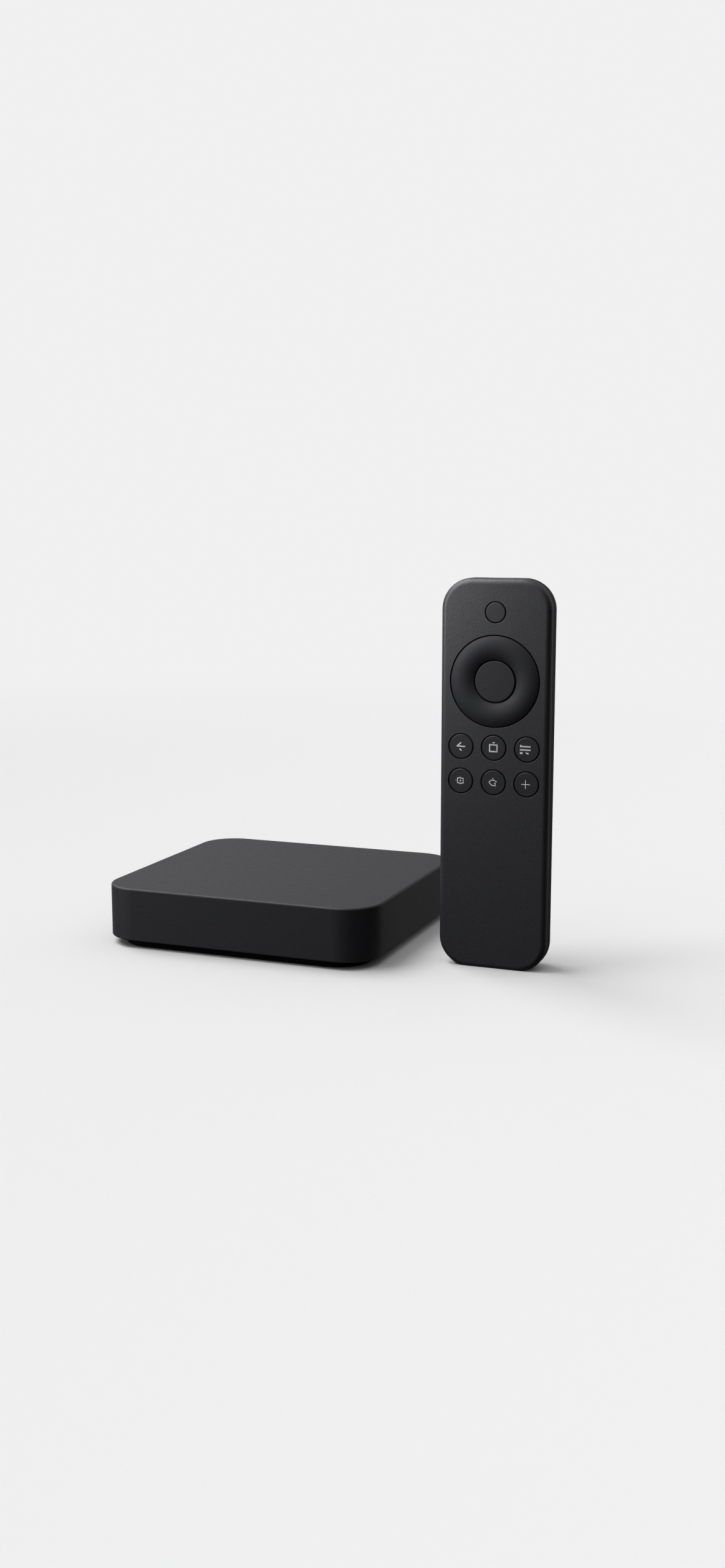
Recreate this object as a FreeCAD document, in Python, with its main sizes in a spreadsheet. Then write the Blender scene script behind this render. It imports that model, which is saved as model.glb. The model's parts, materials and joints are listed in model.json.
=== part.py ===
import FreeCAD, Part
import math
import os
from types import SimpleNamespace

import Sketcher

# A set-top streaming player with its remote control standing beside it, in millimetres.
# The origin is the centre of the player's foot on the table. X runs to the right, the
# player's front faces -Y and Z is up. The remote stands on its lower end, face to the front.
# A remote piece is drawn in the remote's own frame: X from its centre line, Y from the front
# face into its depth, Z up from the table.

SIZES = {
    # Player housing
    "player_width": 110.0,
    "player_depth": 102.0,
    "player_height": 23.0,
    "player_corner": 14.0,
    "housing_bottom": 2.9,
    "housing_wall": 2.0,
    "top_edge_round": 0.8,
    "bottom_edge_round": 0.4,
    # Foot and base plate
    "foot_inset_side": 5.2,
    "foot_inset_front": 2.9,
    "foot_corner": 13.0,
    "foot_thick": 1.2,
    "foot_ring_width": 12.0,
    "foot_edge_round": 0.3,
    "base_gap": 0.15,
    "flange_thick": 1.6,
    # Screws that close the player from below
    "base_screw_x": 42.0,
    "base_screw_y": 40.0,
    "base_boss_radius": 3.2,
    "base_boss_hole": 1.05,
    "base_boss_hole_depth": 8.0,
    "base_head_bore": 2.3,
    "base_head_depth": 1.8,
    "base_shank_bore": 1.3,
    "base_head_radius": 2.0,
    "base_head_thick": 1.4,
    "base_shank_radius": 1.0,
    "base_shank_length": 8.5,
    "cross_wide": 0.5,
    "cross_long": 2.2,
    "cross_deep": 0.8,
    # Main board and its screws
    "board_width": 96.0,
    "board_depth": 88.0,
    "board_centre_y": 2.0,
    "board_corner": 3.0,
    "board_thick": 1.2,
    "board_lift": 2.5,
    "board_notch": 4.2,
    "board_screw_x": 40.0,
    "board_screw_front_y": -26.0,
    "board_screw_rear_y": 25.0,
    "board_hole": 1.1,
    "standoff_radius": 2.6,
    "standoff_hole": 0.95,
    "standoff_hole_depth": 4.4,
    "board_head_radius": 1.9,
    "board_head_thick": 1.2,
    "board_shank_radius": 0.9,
    "board_shank_length": 5.0,
    # Parts on the main board
    "soc_x": -3.0,
    "soc_y": -2.0,
    "soc_side": 15.0,
    "soc_thick": 1.2,
    "thermal_side": 14.0,
    "thermal_thick": 0.8,
    "sink_side": 44.0,
    "sink_base": 1.6,
    "fin_height": 6.6,
    "fin_thick": 1.0,
    "fin_count": 9.0,
    "sink_corner": 2.0,
    "pin_offset": 18.5,
    "pin_pad_radius": 3.2,
    "pin_bore": 1.25,
    "pin_radius": 1.15,
    "pin_head_radius": 2.2,
    "pin_head_thick": 1.0,
    "memory_x": 22.0,
    "memory_front_y": -20.0,
    "memory_pitch": 15.0,
    "memory_width": 8.0,
    "memory_depth": 12.0,
    "chip_thick": 1.0,
    "flash_x": -35.0,
    "flash_y": 5.0,
    "flash_width": 11.5,
    "flash_depth": 13.0,
    "coil_x": 34.0,
    "coil_front_y": 0.0,
    "coil_pitch": 8.5,
    "coil_side": 6.0,
    "coil_thick": 3.0,
    "capacitor_x": 33.0,
    "capacitor_y": -14.0,
    "capacitor_pitch": 7.5,
    "capacitor_radius": 2.6,
    "capacitor_height": 5.6,
    "radio_x": -36.5,
    "radio_y": -13.0,
    "radio_side": 12.0,
    "shield_width": 20.0,
    "shield_depth": 18.0,
    "shield_height": 2.8,
    "shield_wall": 0.25,
    "antenna_x": 24.0,
    "antenna_y": -39.5,
    "antenna_long": 26.0,
    "antenna_tall": 5.0,
    "antenna_leg": 1.8,
    "antenna_thick": 0.4,
    "eye_y": -38.5,
    "eye_width": 6.0,
    "eye_depth": 3.0,
    "eye_height": 6.5,
    "eye_lens_radius": 2.2,
    "eye_lens_length": 2.0,
    # Sockets in the rear wall
    "socket_recess": 0.6,
    "socket_gap": 0.25,
    "hdmi_x": 12.0,
    "hdmi_width": 15.2,
    "hdmi_height": 5.8,
    "hdmi_corner": 1.2,
    "hdmi_length": 11.0,
    "usb_x": -7.0,
    "usb_width": 13.4,
    "usb_height": 6.0,
    "usb_corner": 0.6,
    "usb_length": 13.0,
    "power_x": 29.0,
    "power_width": 9.0,
    "power_height": 3.4,
    "power_corner": 1.69,
    "power_length": 7.5,
    "shell_sheet": 0.4,
    "tongue_thick": 1.1,
    "tongue_side_gap": 1.3,
    "tongue_setback": 1.2,
    "lan_x": -28.0,
    "lan_bottom": 5.2,
    "lan_width": 16.0,
    "lan_height": 13.2,
    "lan_length": 15.6,
    "lan_corner": 0.5,
    "lan_mouth_width": 11.9,
    "lan_mouth_height": 8.0,
    "lan_mouth_bottom": 3.9,
    "lan_latch_width": 6.2,
    "lan_latch_height": 2.6,
    "lan_mouth_depth": 13.0,
    "lan_board_gap": 0.3,
    # Remote shells
    "remote_x": 93.4,
    "remote_front_y": -28.0,
    "remote_width": 40.0,
    "remote_height": 140.0,
    "remote_depth": 15.0,
    "remote_corner": 11.0,
    "foot_trim": 0.6,
    "front_round": 2.0,
    "back_round": 9.0,
    "front_depth": 3.2,
    "front_wall": 1.8,
    "face_thick": 1.6,
    "seam_gap": 0.2,
    "back_wall": 1.5,
    "lip_gap": 0.1,
    "lip_thick": 0.8,
    "lip_front": 2.7,
    "lip_back": 5.4,
    "hole_rim_round": 0.12,
    # Keys
    "power_z": 128.2,
    "power_hole": 3.85,
    "power_cap": 3.5,
    "key_flange_over": 0.8,
    "key_flange_front": 2.0,
    "key_flange_thick": 0.6,
    "key_stem": 1.6,
    "key_back": 3.4,
    "key_round": 0.25,
    "pad_z": 104.0,
    "pad_hole": 16.4,
    "row_top_z": 80.5,
    "row_low_z": 68.1,
    "column_pitch": 12.1,
    "key_hole": 4.7,
    "key_cap": 4.32,
    # Direction ring, its carrier and the centre button; the crest stands proud of the face
    "ring_crest": 0.9,
    "ring_outer": 16.0,
    "ring_inner": 7.75,
    "ring_inner_drop": 0.5,
    "ring_arch": 7.9,
    "ring_underside": 2.0,
    "ring_skirt_inner": 14.4,
    "ring_flange": 16.9,
    "ring_flange_front": 2.6,
    "ring_back": 3.2,
    "carrier_inner": 8.8,
    "carrier_outer": 10.6,
    "carrier_front": 2.9,
    "carrier_thick": 0.6,
    "ok_drop": 0.2,
    "ok_cap": 7.25,
    "ok_flange": 8.3,
    "ok_flange_front": 2.9,
    "ok_flange_thick": 0.5,
    # Mat, domes and remote board, depths from the front face
    "mat_front": 4.2,
    "mat_thick": 0.8,
    "mat_width": 32.4,
    "dome_radius": 2.6,
    "dome_thick": 0.3,
    "dome_spread": 12.0,
    "remote_board_thick": 1.0,
    "remote_board_width": 32.8,
    "remote_board_low": 62.6,
    "remote_board_high": 132.0,
    "remote_board_corner": 7.8,
    "post_low_x": 14.8,
    "post_low_z": 88.0,
    "post_high_x": 11.5,
    "post_high_z": 128.0,
    "post_radius": 1.5,
    "post_hole": 0.75,
    "post_clearance": 0.35,
    "remote_screw_radius": 0.7,
    "remote_screw_length": 3.2,
    "remote_head_radius": 1.4,
    "remote_head_thick": 0.9,
    "remote_chip_z": 98.0,
    "remote_chip_side": 6.0,
    "remote_chip_thick": 0.9,
    # Infrared lamp and window in the remote's upper end
    "lamp_radius": 1.5,
    "lamp_length": 3.0,
    "lamp_bottom": 132.1,
    "lamp_rim_radius": 1.8,
    "lamp_rim_thick": 0.6,
    "window_width": 9.0,
    "window_depth": 3.0,
    "window_front": 3.9,
    "window_thick": 1.9,
    "window_gap": 0.05,
    # Battery bay, cells, contacts and door
    "bay_block_width": 27.6,
    "bay_block_low": 6.8,
    "bay_block_high": 61.4,
    "bay_block_front": 1.9,
    "bay_floor": 2.7,
    "bay_width": 22.6,
    "bay_low": 9.6,
    "bay_high": 59.1,
    "cell_radius": 5.25,
    "cell_length": 43.5,
    "cell_x": 5.5,
    "cell_depth": 7.95,
    "cell_nub_radius": 1.9,
    "cell_nub_length": 1.0,
    "cell_round": 0.5,
    "contact_thick": 0.4,
    "contact_width": 9.6,
    "contact_depth": 9.0,
    "spring_wire": 0.3,
    "spring_low_radius": 4.2,
    "spring_turns": 3.5,
    "spring_cone": -20.0,
    "door_width": 24.8,
    "door_low": 8.6,
    "door_high": 60.2,
    "door_gap": 0.2,
    "door_thick": 1.5,
    "door_end_round": 0.6,
    "hinge_inset": 0.85,
    "hinge_lift": 0.8,
    "hinge_pin": 0.4,
    "hinge_bore": 0.46,
    "hinge_pin_length": 0.9,
    "grip_count": 5.0,
    "grip_low": 48.0,
    "grip_pitch": 2.0,
    "grip_wide": 10.0,
    "grip_tall": 0.8,
    "grip_deep": 0.5,
}

doc = FreeCAD.newDocument("StreamingPlayer")
sheet = doc.addObject("Spreadsheet::Sheet", "Sizes")
for row, (alias, number) in enumerate(SIZES.items(), start=1):
    sheet.set(f"A{row}", alias)
    sheet.set(f"B{row}", str(number))
    sheet.setAlias(f"B{row}", alias)
doc.recompute()


class Size:
    """A length, with the sheet formula that it is worked out from."""

    def __init__(self, number, text):
        self.number = number
        self.text = text

    def __add__(self, other):
        other = as_size(other)
        return Size(self.number + other.number, f"({self.text} + {other.text})")

    def __sub__(self, other):
        other = as_size(other)
        return Size(self.number - other.number, f"({self.text} - {other.text})")

    def __mul__(self, factor):
        return Size(self.number * factor, f"({self.text} * {factor})")

    def __truediv__(self, divisor):
        return Size(self.number / divisor, f"({self.text} / {divisor})")

    def __neg__(self):
        return self * -1

    __rmul__ = __mul__


def as_size(length):
    """Let a plain number stand where a Size is wanted."""
    if isinstance(length, Size):
        return length
    return Size(float(length), repr(float(length)))


size = SimpleNamespace(**{alias: Size(number, f"Sizes.{alias}") for alias, number in SIZES.items()})

# Direction of each origin plane's own normal, and the axis it runs along
PLANES = {"XY_Plane": ("Z", 1), "XZ_Plane": ("Y", -1), "YZ_Plane": ("X", 1)}

nodes = {}


# ---------------------------------------------------------------- drawing helpers

def bind(thing, path, length):
    """Tie one property of an object to the sheet."""
    thing.setExpression(path, as_size(length).text)


def place(thing, x=0, y=0, z=0, rotation=None):
    """Put an object down at sheet-driven coordinates."""
    x, y, z = as_size(x), as_size(y), as_size(z)
    turn = rotation or FreeCAD.Rotation()
    thing.Placement = FreeCAD.Placement(FreeCAD.Vector(x.number, y.number, z.number), turn)
    bind(thing, ".Placement.Base.x", x)
    bind(thing, ".Placement.Base.y", y)
    bind(thing, ".Placement.Base.z", z)
    return thing


def new_body(label, x=0, y=0, z=0, rotation=None):
    """Start an empty PartDesign body at its place."""
    body = doc.addObject("PartDesign::Body", label)
    body.Label = label
    return place(body, x, y, z, rotation)


def new_remote_body(label, x=0, depth=0, z=0, rotation=None):
    """Start a body in the remote's frame."""
    return new_body(label, size.remote_x + x, size.remote_front_y + depth, as_size(z), rotation)


def keep(label, thing):
    """Register a finished piece under the name of its node."""
    thing.Label = label
    nodes[label] = thing
    return thing


def new_sketch(body, plane, across=0, up=0, level=0):
    """Attach a sketch to an origin plane of its own body.

    across and up move its origin within the plane, and level is the coordinate of the plane
    along the body's own X, Y or Z axis.
    """
    face = next(item for item in body.Origin.OriginFeatures if item.Role == plane)
    sketch = body.newObject("Sketcher::SketchObject", body.Name + "_outline")
    sketch.AttachmentSupport = [(face, "")]
    sketch.MapMode = "FlatFace"
    sign = PLANES[plane][1]
    shift = (as_size(across), as_size(up), as_size(level) * sign)
    sketch.AttachmentOffset = FreeCAD.Placement(
        FreeCAD.Vector(*(part.number for part in shift)), FreeCAD.Rotation())
    for axis, part in zip("xyz", shift):
        bind(sketch, f".AttachmentOffset.Base.{axis}", part)
    return sketch


def measure(sketch, kind, length, *points):
    """Add one dimension to a sketch and tie it to the sheet."""
    length = as_size(length)
    number = sketch.addConstraint(Sketcher.Constraint(kind, *points, length.number))
    sketch.setExpression(f"Constraints[{number}]", length.text)


def draw_circle(sketch, radius):
    """Draw a circle about the sketch's origin."""
    radius = as_size(radius)
    up = FreeCAD.Vector(0, 0, 1)
    circle = sketch.addGeometry(Part.Circle(FreeCAD.Vector(), up, radius.number))
    sketch.addConstraint(Sketcher.Constraint("Coincident", circle, 3, -1, 1))
    measure(sketch, "Radius", radius, circle)
    return sketch


def draw_rectangle(sketch, wide, tall):
    """Draw a rectangle about the sketch's origin."""
    wide, tall = as_size(wide), as_size(tall)
    x, y = wide.number / 2, tall.number / 2
    corners = [(-x, -y), (x, -y), (x, y), (-x, y)]
    first = sketch.GeometryCount
    for start, end in zip(corners, corners[1:] + corners[:1]):
        sketch.addGeometry(Part.LineSegment(FreeCAD.Vector(*start), FreeCAD.Vector(*end)))
    for side in range(4):
        following = first + (side + 1) % 4
        sketch.addConstraint(Sketcher.Constraint("Coincident", first + side, 2, following, 1))
        level = "Horizontal" if side % 2 == 0 else "Vertical"
        sketch.addConstraint(Sketcher.Constraint(level, first + side))
    sketch.addConstraint(Sketcher.Constraint("Symmetric", first, 1, first + 2, 1, -1, 1))
    measure(sketch, "DistanceX", wide, first, 1, first, 2)
    measure(sketch, "DistanceY", tall, first + 1, 1, first + 1, 2)
    return sketch


def draw_rounded(sketch, wide, tall, corner):
    """Draw a rectangle with round corners about the sketch's origin."""
    wide, tall, corner = as_size(wide), as_size(tall), as_size(corner)
    x, y, radius = wide.number / 2, tall.number / 2, corner.number
    vector = FreeCAD.Vector
    quarter = math.pi / 2
    centres = [(x - radius, radius - y), (x - radius, y - radius),
               (radius - x, y - radius), (radius - x, radius - y)]
    sides = [((radius - x, -y), (x - radius, -y)), ((x, radius - y), (x, y - radius)),
             ((x - radius, y), (radius - x, y)), ((-x, y - radius), (-x, radius - y))]
    first = sketch.GeometryCount
    for turn, (side, centre) in enumerate(zip(sides, centres)):
        sketch.addGeometry(Part.LineSegment(vector(*side[0]), vector(*side[1])))
        circle = Part.Circle(vector(*centre), vector(0, 0, 1), radius)
        start = (turn - 1) * quarter
        sketch.addGeometry(Part.ArcOfCircle(circle, start, start + quarter))
    for step in range(8):
        following = first + (step + 1) % 8
        sketch.addConstraint(Sketcher.Constraint("Tangent", first + step, 2, following, 1))
    for side in range(4):
        level = "Horizontal" if side % 2 == 0 else "Vertical"
        sketch.addConstraint(Sketcher.Constraint(level, first + 2 * side))
    for arc in (3, 5, 7):
        sketch.addConstraint(Sketcher.Constraint("Equal", first + 1, first + arc))
    sketch.addConstraint(Sketcher.Constraint("Symmetric", first + 3, 3, first + 7, 3, -1, 1))
    measure(sketch, "Radius", corner, first + 1)
    measure(sketch, "DistanceX", wide - corner * 2, first + 7, 3, first + 1, 3)
    measure(sketch, "DistanceY", tall - corner * 2, first + 1, 3, first + 3, 3)
    return sketch


def draw_profile(sketch, points, arcs=()):
    """Draw a closed outline through points, all with positive coordinates.

    arcs holds, for the number of a side, the radius of the arc that takes the line's place,
    bulging to its left. A sketch's arc runs counterclockwise, so such a side runs backwards.
    """
    arcs = dict(arcs)
    points = [(as_size(x), as_size(y)) for x, y in points]
    spots = [FreeCAD.Vector(x.number, y.number) for x, y in points]
    for side, start in enumerate(spots):
        end = spots[(side + 1) % len(spots)]
        if side in arcs:
            radius = arcs[side].number
            half = (end - start) * 0.5
            left = FreeCAD.Vector(-half.y, half.x).normalize()
            centre = start + half - left * (radius ** 2 - half.Length ** 2) ** 0.5
            first, last = (math.atan2(spot.y - centre.y, spot.x - centre.x)
                           for spot in (end, start))
            circle = Part.Circle(centre, FreeCAD.Vector(0, 0, 1), radius)
            sketch.addGeometry(Part.ArcOfCircle(circle, first, last))
        else:
            sketch.addGeometry(Part.LineSegment(start, end))
    ends = [(2, 1) if side in arcs else (1, 2) for side in range(len(points))]
    for side, (x, y) in enumerate(points):
        before = (side - 1) % len(points)
        sketch.addConstraint(
            Sketcher.Constraint("Coincident", before, ends[before][1], side, ends[side][0]))
        measure(sketch, "DistanceX", x, -1, 1, side, ends[side][0])
        measure(sketch, "DistanceY", y, -1, 1, side, ends[side][0])
        if side in arcs:
            measure(sketch, "Radius", arcs[side], side)
    return sketch


def plane_of(sketch):
    """Give the axis and sign of the normal that a sketch is drawn on."""
    return PLANES[sketch.AttachmentSupport[0][0].Role]


def grow(sketch, length, towards):
    """Pad a sketch along +X, -Y and so on."""
    body = sketch.getParentGeoFeatureGroup()
    axis, sign = plane_of(sketch)
    feature = body.newObject("PartDesign::Pad", body.Name + "_pad")
    feature.Profile = sketch
    bind(feature, "Length", length)
    feature.Reversed = (towards == f"+{axis}") != (sign > 0)
    body.Tip = feature
    return feature


def cut(sketch, length, towards):
    """Pocket a sketch along +X, -Y and so on."""
    body = sketch.getParentGeoFeatureGroup()
    axis, sign = plane_of(sketch)
    feature = body.newObject("PartDesign::Pocket", body.Name + "_pocket")
    feature.Profile = sketch
    bind(feature, "Length", length)
    feature.Reversed = (towards == f"+{axis}") == (sign > 0)
    body.Tip = feature
    return feature


def revolve(sketch):
    """Turn a profile fully round its sketch's vertical axis."""
    body = sketch.getParentGeoFeatureGroup()
    feature = body.newObject("PartDesign::Revolution", body.Name + "_turn")
    feature.Profile = sketch
    feature.ReferenceAxis = (sketch, ["V_Axis"])
    feature.Angle = 360
    body.Tip = feature
    return feature


def edges_at(shape, axis, level, wanted=lambda edge: True):
    """Name the edges that lie in one plane across an axis."""
    names = []
    for number, edge in enumerate(shape.Edges, start=1):
        box = edge.BoundBox
        low, high = getattr(box, axis + "Min"), getattr(box, axis + "Max")
        if abs(low - level) < 1e-4 and abs(high - level) < 1e-4 and wanted(edge):
            names.append(f"Edge{number}")
    return names


def soften(body, radius, axis, level, wanted=lambda edge: True):
    """Fillet the edges that lie in one plane of a body."""
    doc.recompute()
    base = body.Tip
    names = edges_at(base.Shape, axis, as_size(level).number, wanted)
    if not names:
        raise RuntimeError(f"{body.Label} has no edge at {axis} {as_size(level).number}")
    feature = body.newObject("PartDesign::Fillet", body.Name + "_round")
    feature.Base = (base, names)
    bind(feature, "Radius", radius)
    body.Tip = feature
    return feature


def block(label, x, y, z, wide, deep, tall, edge_round=0.15):
    """Make a box-shaped part standing on a board, with softened upper edges."""
    body = new_body(label, x, y, z)
    grow(draw_rectangle(new_sketch(body, "XY_Plane"), wide, deep), tall, "+Z")
    soften(body, edge_round, "Z", tall)
    return body


def group(label, members):
    """Gather identical loose pieces under one node."""
    compound = doc.addObject("Part::Compound", label)
    compound.Links = members
    return keep(label, compound)


def screw(label, x, y, z, head, head_thick, shank, shank_length, rotation=None):
    """Make a cross-recessed screw; its head bears at z and its shank runs up along +Z."""
    body = new_body(label, x, y, z, rotation)
    grow(draw_circle(new_sketch(body, "XY_Plane"), head), head_thick, "-Z")
    grow(draw_circle(new_sketch(body, "XY_Plane"), shank), shank_length, "+Z")
    soften(body, 0.3, "Z", -head_thick.number)
    for wide, tall in ((size.cross_long, size.cross_wide), (size.cross_wide, size.cross_long)):
        slot = draw_rectangle(new_sketch(body, "XY_Plane", level=-head_thick), wide, tall)
        cut(slot, size.cross_deep, "+Z")
    return body


# ---------------------------------------------------------------- player

foot_width = size.player_width - 2 * size.foot_inset_side
foot_depth = size.player_depth - 2 * size.foot_inset_front
flange_top = size.housing_bottom + size.flange_thick
roof = size.player_height - size.housing_wall
board_bottom = flange_top + size.board_lift
board_top = board_bottom + size.board_thick
socket_face = size.player_depth / 2 - size.socket_recess
base_screw_places = [(size.base_screw_x * sx, size.base_screw_y * sy)
                     for sx in (-1, 1) for sy in (-1, 1)]
board_screw_places = [(size.board_screw_x * side, y) for side in (-1, 1)
                      for y in (size.board_screw_front_y, size.board_screw_rear_y)]

# Each low socket: its place along the rear, outer width and height, corner and length
SOCKETS = {
    "hdmi_port": (size.hdmi_x, size.hdmi_width, size.hdmi_height, size.hdmi_corner,
                  size.hdmi_length),
    "usb_port": (size.usb_x, size.usb_width, size.usb_height, size.usb_corner,
                 size.usb_length),
    "power_port": (size.power_x, size.power_width, size.power_height, size.power_corner,
                   size.power_length),
}


def make_top_housing():
    """One moulding: roof, four walls, socket windows and the bosses for the base screws."""
    body = new_body("top_housing")
    height = size.player_height - size.housing_bottom
    outline = new_sketch(body, "XY_Plane", level=size.housing_bottom)
    grow(draw_rounded(outline, size.player_width, size.player_depth, size.player_corner),
         height, "+Z")
    soften(body, size.top_edge_round, "Z", size.player_height)
    soften(body, size.bottom_edge_round, "Z", size.housing_bottom)
    cavity = new_sketch(body, "XY_Plane", level=size.housing_bottom)
    draw_rounded(cavity, size.player_width - 2 * size.housing_wall,
                 size.player_depth - 2 * size.housing_wall,
                 size.player_corner - size.housing_wall)
    cut(cavity, height - size.housing_wall, "+Z")
    for x, y in base_screw_places:
        boss = draw_circle(new_sketch(body, "XY_Plane", x, y, roof), size.base_boss_radius)
        grow(boss, roof - flange_top, "-Z")
        hole = draw_circle(new_sketch(body, "XY_Plane", x, y, flange_top), size.base_boss_hole)
        cut(hole, size.base_boss_hole_depth, "+Z")
    windows = [(x, board_top + height / 2, wide, height, corner)
               for x, wide, height, corner, _ in SOCKETS.values()]
    windows.append((size.lan_x, size.lan_bottom + size.lan_height / 2, size.lan_width,
                    size.lan_height, size.lan_corner))
    for x, middle, wide, tall, corner in windows:
        window = new_sketch(body, "XZ_Plane", x, middle, size.player_depth / 2)
        draw_rounded(window, wide + 2 * size.socket_gap, tall + 2 * size.socket_gap,
                     corner + size.socket_gap)
        cut(window, size.housing_wall * 1.5, "-Y")
    keep("top_housing", body)


def make_base_plate():
    """The plinth with a flange that closes the housing, standoffs and screw holes."""
    body = new_body("base_plate")
    plinth = new_sketch(body, "XY_Plane", level=size.foot_thick)
    grow(draw_rounded(plinth, foot_width, foot_depth, size.foot_corner),
         size.housing_bottom - size.foot_thick, "+Z")
    inset = size.housing_wall + size.base_gap
    flange = new_sketch(body, "XY_Plane", level=size.housing_bottom)
    draw_rounded(flange, size.player_width - 2 * inset, size.player_depth - 2 * inset,
                 size.player_corner - inset)
    grow(flange, size.flange_thick, "+Z")
    for x, y in board_screw_places:
        standoff = draw_circle(new_sketch(body, "XY_Plane", x, y, flange_top),
                               size.standoff_radius)
        grow(standoff, size.board_lift, "+Z")
        hole = draw_circle(new_sketch(body, "XY_Plane", x, y, board_bottom),
                           size.standoff_hole)
        cut(hole, size.standoff_hole_depth, "-Z")
    for x, y in base_screw_places:
        head = draw_circle(new_sketch(body, "XY_Plane", x, y, size.foot_thick),
                           size.base_head_bore)
        cut(head, size.base_head_depth, "+Z")
        shank = draw_circle(new_sketch(body, "XY_Plane", x, y, flange_top),
                            size.base_shank_bore)
        cut(shank, flange_top - size.foot_thick, "-Z")
    keep("base_plate", body)


def make_foot_ring():
    """The rubber ring that the player stands on; it hides the base screws."""
    body = new_body("foot_ring")
    ring = new_sketch(body, "XY_Plane")
    draw_rounded(ring, foot_width, foot_depth, size.foot_corner)
    band = size.foot_ring_width
    inner_corner = size.foot_corner - band / 2
    draw_rounded(ring, foot_width - 2 * band, foot_depth - 2 * band, inner_corner)
    grow(ring, size.foot_thick, "+Z")
    soften(body, size.foot_edge_round, "Z", 0)
    keep("foot_ring", body)


def make_base_screws():
    bearing = size.foot_thick + size.base_head_depth
    members = [screw(f"base_screw_{number}", x, y, bearing, size.base_head_radius,
                     size.base_head_thick, size.base_shank_radius, size.base_shank_length)
               for number, (x, y) in enumerate(base_screw_places, start=1)]
    group("base_screws", members)


def make_main_board():
    """The main board, cut away round the housing bosses and the tall network socket."""
    body = new_body("main_board")
    outline = new_sketch(body, "XY_Plane", 0, size.board_centre_y, board_bottom)
    draw_rounded(outline, size.board_width, size.board_depth, size.board_corner)
    grow(outline, size.board_thick, "+Z")
    for x, y in base_screw_places:
        notch = draw_circle(new_sketch(body, "XY_Plane", x, y, board_top), size.board_notch)
        cut(notch, size.board_thick, "-Z")
    for x, y in board_screw_places:
        hole = draw_circle(new_sketch(body, "XY_Plane", x, y, board_top), size.board_hole)
        cut(hole, size.board_thick, "-Z")
    for x, y in sink_pin_places:
        hole = draw_circle(new_sketch(body, "XY_Plane", x, y, board_top), size.pin_bore)
        cut(hole, size.board_thick, "-Z")
    reach = size.lan_length + size.lan_board_gap
    opening = new_sketch(body, "XY_Plane", size.lan_x, socket_face - reach / 2, board_top)
    draw_rectangle(opening, size.lan_width + 2 * size.lan_board_gap, reach)
    cut(opening, size.board_thick, "-Z")
    keep("main_board", body)


def make_board_screws():
    """The screws point down, so each is turned over about X."""
    turned = FreeCAD.Rotation(FreeCAD.Vector(1, 0, 0), 180)
    members = [screw(f"board_screw_{number}", x, y, board_top, size.board_head_radius,
                     size.board_head_thick, size.board_shank_radius,
                     size.board_shank_length, turned)
               for number, (x, y) in enumerate(board_screw_places, start=1)]
    group("board_screws", members)


soc_top = board_top + size.soc_thick
sink_bottom = soc_top + size.thermal_thick
sink_top = sink_bottom + size.sink_base
sink_pin_places = [(size.soc_x + size.pin_offset * side, size.soc_y - size.pin_offset * side)
                   for side in (-1, 1)]


def make_processor():
    chip = block("soc_chip", size.soc_x, size.soc_y, board_top, size.soc_side,
                 size.soc_side, size.soc_thick)
    keep("soc_chip", chip)
    pad = block("thermal_pad", size.soc_x, size.soc_y, soc_top, size.thermal_side,
                size.thermal_side, size.thermal_thick, 0.2)
    keep("thermal_pad", pad)


def make_heat_sink():
    """A finned plate; a round land in two opposite corners takes a pin."""
    body = new_body("heat_sink", size.soc_x, size.soc_y, sink_bottom)
    plate = new_sketch(body, "XY_Plane")
    draw_rounded(plate, size.sink_side, size.sink_side, size.sink_corner)
    grow(plate, size.sink_base, "+Z")
    pitch = (size.sink_side - size.fin_thick) / (SIZES["fin_count"] - 1)
    for number in range(int(SIZES["fin_count"])):
        across = pitch * number - (size.sink_side - size.fin_thick) / 2
        fin = new_sketch(body, "XY_Plane", across, 0, size.sink_base)
        draw_rectangle(fin, size.fin_thick, size.sink_side - 2 * size.sink_corner)
        grow(fin, size.fin_height, "+Z")
    for side in (-1, 1):
        x, y = size.pin_offset * side, size.pin_offset * -side
        land = draw_circle(new_sketch(body, "XY_Plane", x, y, size.sink_base),
                           size.pin_pad_radius)
        cut(land, size.fin_height, "+Z")
        hole = draw_circle(new_sketch(body, "XY_Plane", x, y, size.sink_base), size.pin_bore)
        cut(hole, size.sink_base, "-Z")
    keep("heat_sink", body)


def make_sink_pins():
    """Push pins that hold the heat sink down on the board."""
    members = []
    for number, (x, y) in enumerate(sink_pin_places, start=1):
        body = new_body(f"sink_pin_{number}", x, y, sink_top)
        grow(draw_circle(new_sketch(body, "XY_Plane"), size.pin_head_radius),
             size.pin_head_thick, "+Z")
        length = sink_top - board_bottom + size.pin_radius
        grow(draw_circle(new_sketch(body, "XY_Plane"), size.pin_radius), length, "-Z")
        soften(body, 0.4, "Z", size.pin_head_thick)
        members.append(body)
    group("sink_pins", members)


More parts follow.
